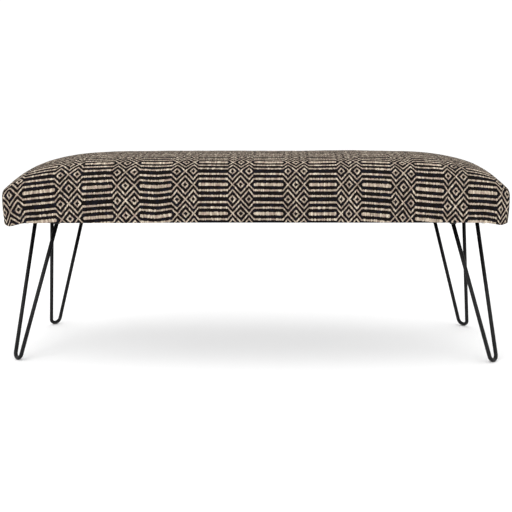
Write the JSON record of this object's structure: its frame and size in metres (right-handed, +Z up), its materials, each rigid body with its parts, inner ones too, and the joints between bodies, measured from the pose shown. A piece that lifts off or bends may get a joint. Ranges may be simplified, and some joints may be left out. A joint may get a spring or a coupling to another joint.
{
  "type": "entryway bench",
  "caption": "Backless upholstered bench: a long padded seat in black and cream handwoven cloth on splayed black steel hairpin legs.",
  "frame": {"origin": "on the floor under the middle of the seat", "axes": "+X along the bench's length, -Y towards its front, +Z up"},
  "size_m": [1.22, 0.41, 0.512],
  "materials": {
    "woven_cloth": "matt handwoven cotton, cream geometric figures on black",
    "dust_cloth": "matt black spun-bonded non-woven",
    "wadding": "soft white polyester fibre",
    "foam": "matt open-cell foam",
    "plywood": "unfinished plywood",
    "black_steel": "satin black powder coat",
    "zinc_steel": "bright zinc plate"
  },
  "bodies": {
    "root": {"dust_cover": "dust_cloth", "fabric_cover": "woven_cloth", "foam_core": "foam", "hairpin_rod_front_left": "black_steel", "hairpin_rod_front_right": "black_steel", "hairpin_rod_rear_left": "black_steel", "hairpin_rod_rear_right": "black_steel", "leg_bolt_front_left_1": "zinc_steel", "leg_bolt_front_left_2": "zinc_steel", "leg_bolt_front_left_3": "zinc_steel", "leg_bolt_front_left_4": "zinc_steel", "leg_bolt_front_right_1": "zinc_steel", "leg_bolt_front_right_2": "zinc_steel", "leg_bolt_front_right_3": "zinc_steel", "leg_bolt_front_right_4": "zinc_steel", "leg_bolt_rear_left_1": "zinc_steel", "leg_bolt_rear_left_2": "zinc_steel", "leg_bolt_rear_left_3": "zinc_steel", "leg_bolt_rear_left_4": "zinc_steel", "leg_bolt_rear_right_1": "zinc_steel", "leg_bolt_rear_right_2": "zinc_steel", "leg_bolt_rear_right_3": "zinc_steel", "leg_bolt_rear_right_4": "zinc_steel", "mounting_plate_front_left": "black_steel", "mounting_plate_front_right": "black_steel", "mounting_plate_rear_left": "black_steel", "mounting_plate_rear_right": "black_steel", "seat_board": "plywood", "tee_nut_front_left_1": "zinc_steel", "tee_nut_front_left_2": "zinc_steel", "tee_nut_front_left_3": "zinc_steel", "tee_nut_front_left_4": "zinc_steel", "tee_nut_front_right_1": "zinc_steel", "tee_nut_front_right_2": "zinc_steel", "tee_nut_front_right_3": "zinc_steel", "tee_nut_front_right_4": "zinc_steel", "tee_nut_rear_left_1": "zinc_steel", "tee_nut_rear_left_2": "zinc_steel", "tee_nut_rear_left_3": "zinc_steel", "tee_nut_rear_left_4": "zinc_steel", "tee_nut_rear_right_1": "zinc_steel", "tee_nut_rear_right_2": "zinc_steel", "tee_nut_rear_right_3": "zinc_steel", "tee_nut_rear_right_4": "zinc_steel", "wadding": "wadding", "weld_bead_front_left_a": "black_steel", "weld_bead_front_left_b": "black_steel", "weld_bead_front_right_a": "black_steel", "weld_bead_front_right_b": "black_steel", "weld_bead_rear_left_a": "black_steel", "weld_bead_rear_left_b": "black_steel", "weld_bead_rear_right_a": "black_steel", "weld_bead_rear_right_b": "black_steel"}
  },
  "joints": []
}
